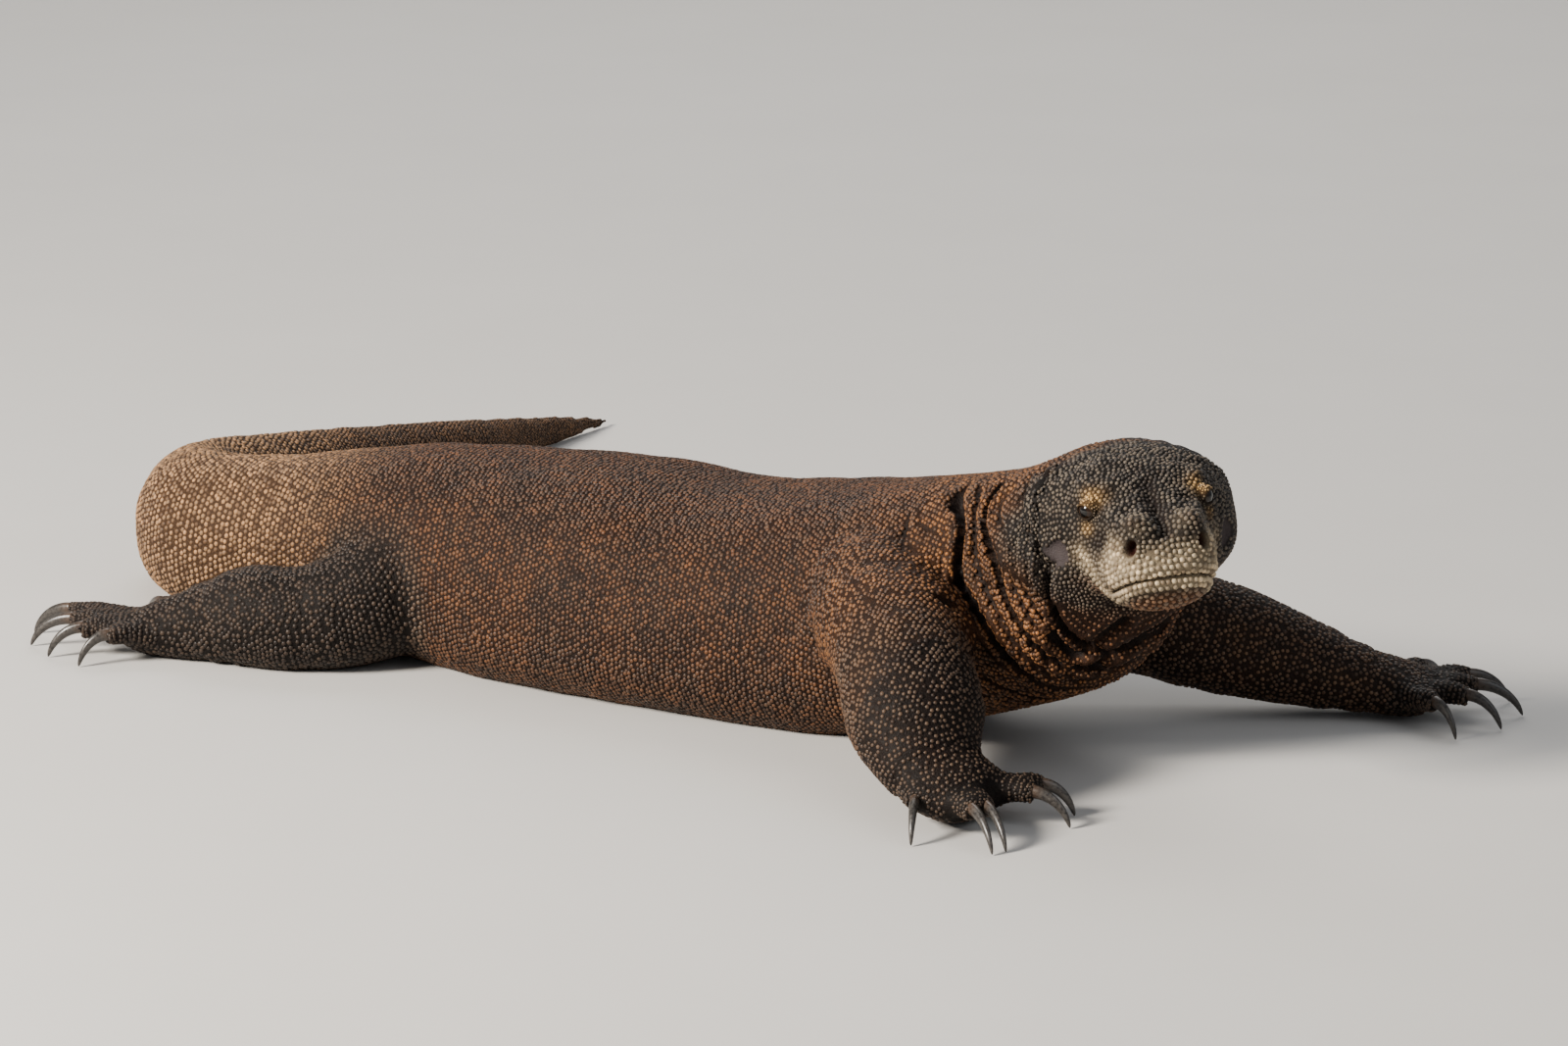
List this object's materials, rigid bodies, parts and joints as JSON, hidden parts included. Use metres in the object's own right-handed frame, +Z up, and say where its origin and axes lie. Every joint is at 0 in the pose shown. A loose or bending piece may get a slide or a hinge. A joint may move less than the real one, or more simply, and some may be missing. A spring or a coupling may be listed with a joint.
{
  "type": "komodo dragon",
  "caption": "Life-size still model of a komodo dragon resting on its belly, head turned to its right and raised, forelegs reaching forward, tail swept back and to its left",
  "frame": {"origin": "the middle of the bounding box's underside, on the floor", "axes": "+X runs along the trunk towards the head, +Y to the animal's left, +Z up"},
  "size_m": [1.592, 1.1888, 0.3313],
  "materials": {
    "skin": "matt beaded scales, dark grey-brown with rust-orange neck and flank and pale bead centres",
    "claw": "dark grey horn with fine lengthwise grooves, satin",
    "eye": "wet dark brown iris and black pupil, glossy"
  },
  "bodies": {
    "root": {"eye_left": "eye", "eye_right": "eye", "front_left_claw_1": "claw", "front_left_claw_2": "claw", "front_left_claw_3": "claw", "front_left_claw_4": "claw", "front_left_claw_5": "claw", "front_left_forearm": "skin", "front_left_hand": "skin", "front_left_upper_arm": "skin", "front_right_claw_1": "claw", "front_right_claw_2": "claw", "front_right_claw_3": "claw", "front_right_claw_4": "claw", "front_right_claw_5": "claw", "front_right_forearm": "skin", "front_right_hand": "skin", "front_right_upper_arm": "skin", "head": "skin", "hind_left_claw_1": "claw", "hind_left_claw_2": "claw", "hind_left_claw_3": "claw", "hind_left_claw_4": "claw", "hind_left_claw_5": "claw", "hind_left_foot": "skin", "hind_left_shank": "skin", "hind_left_thigh": "skin", "hind_right_claw_1": "claw", "hind_right_claw_2": "claw", "hind_right_claw_3": "claw", "hind_right_claw_4": "claw", "hind_right_claw_5": "claw", "hind_right_foot": "skin", "hind_right_shank": "skin", "hind_right_thigh": "skin", "lower_jaw": "skin", "neck": "skin", "tail_1": "skin", "tail_2": "skin", "tail_3": "skin", "tail_4": "skin", "trunk": "skin"}
  },
  "joints": []
}
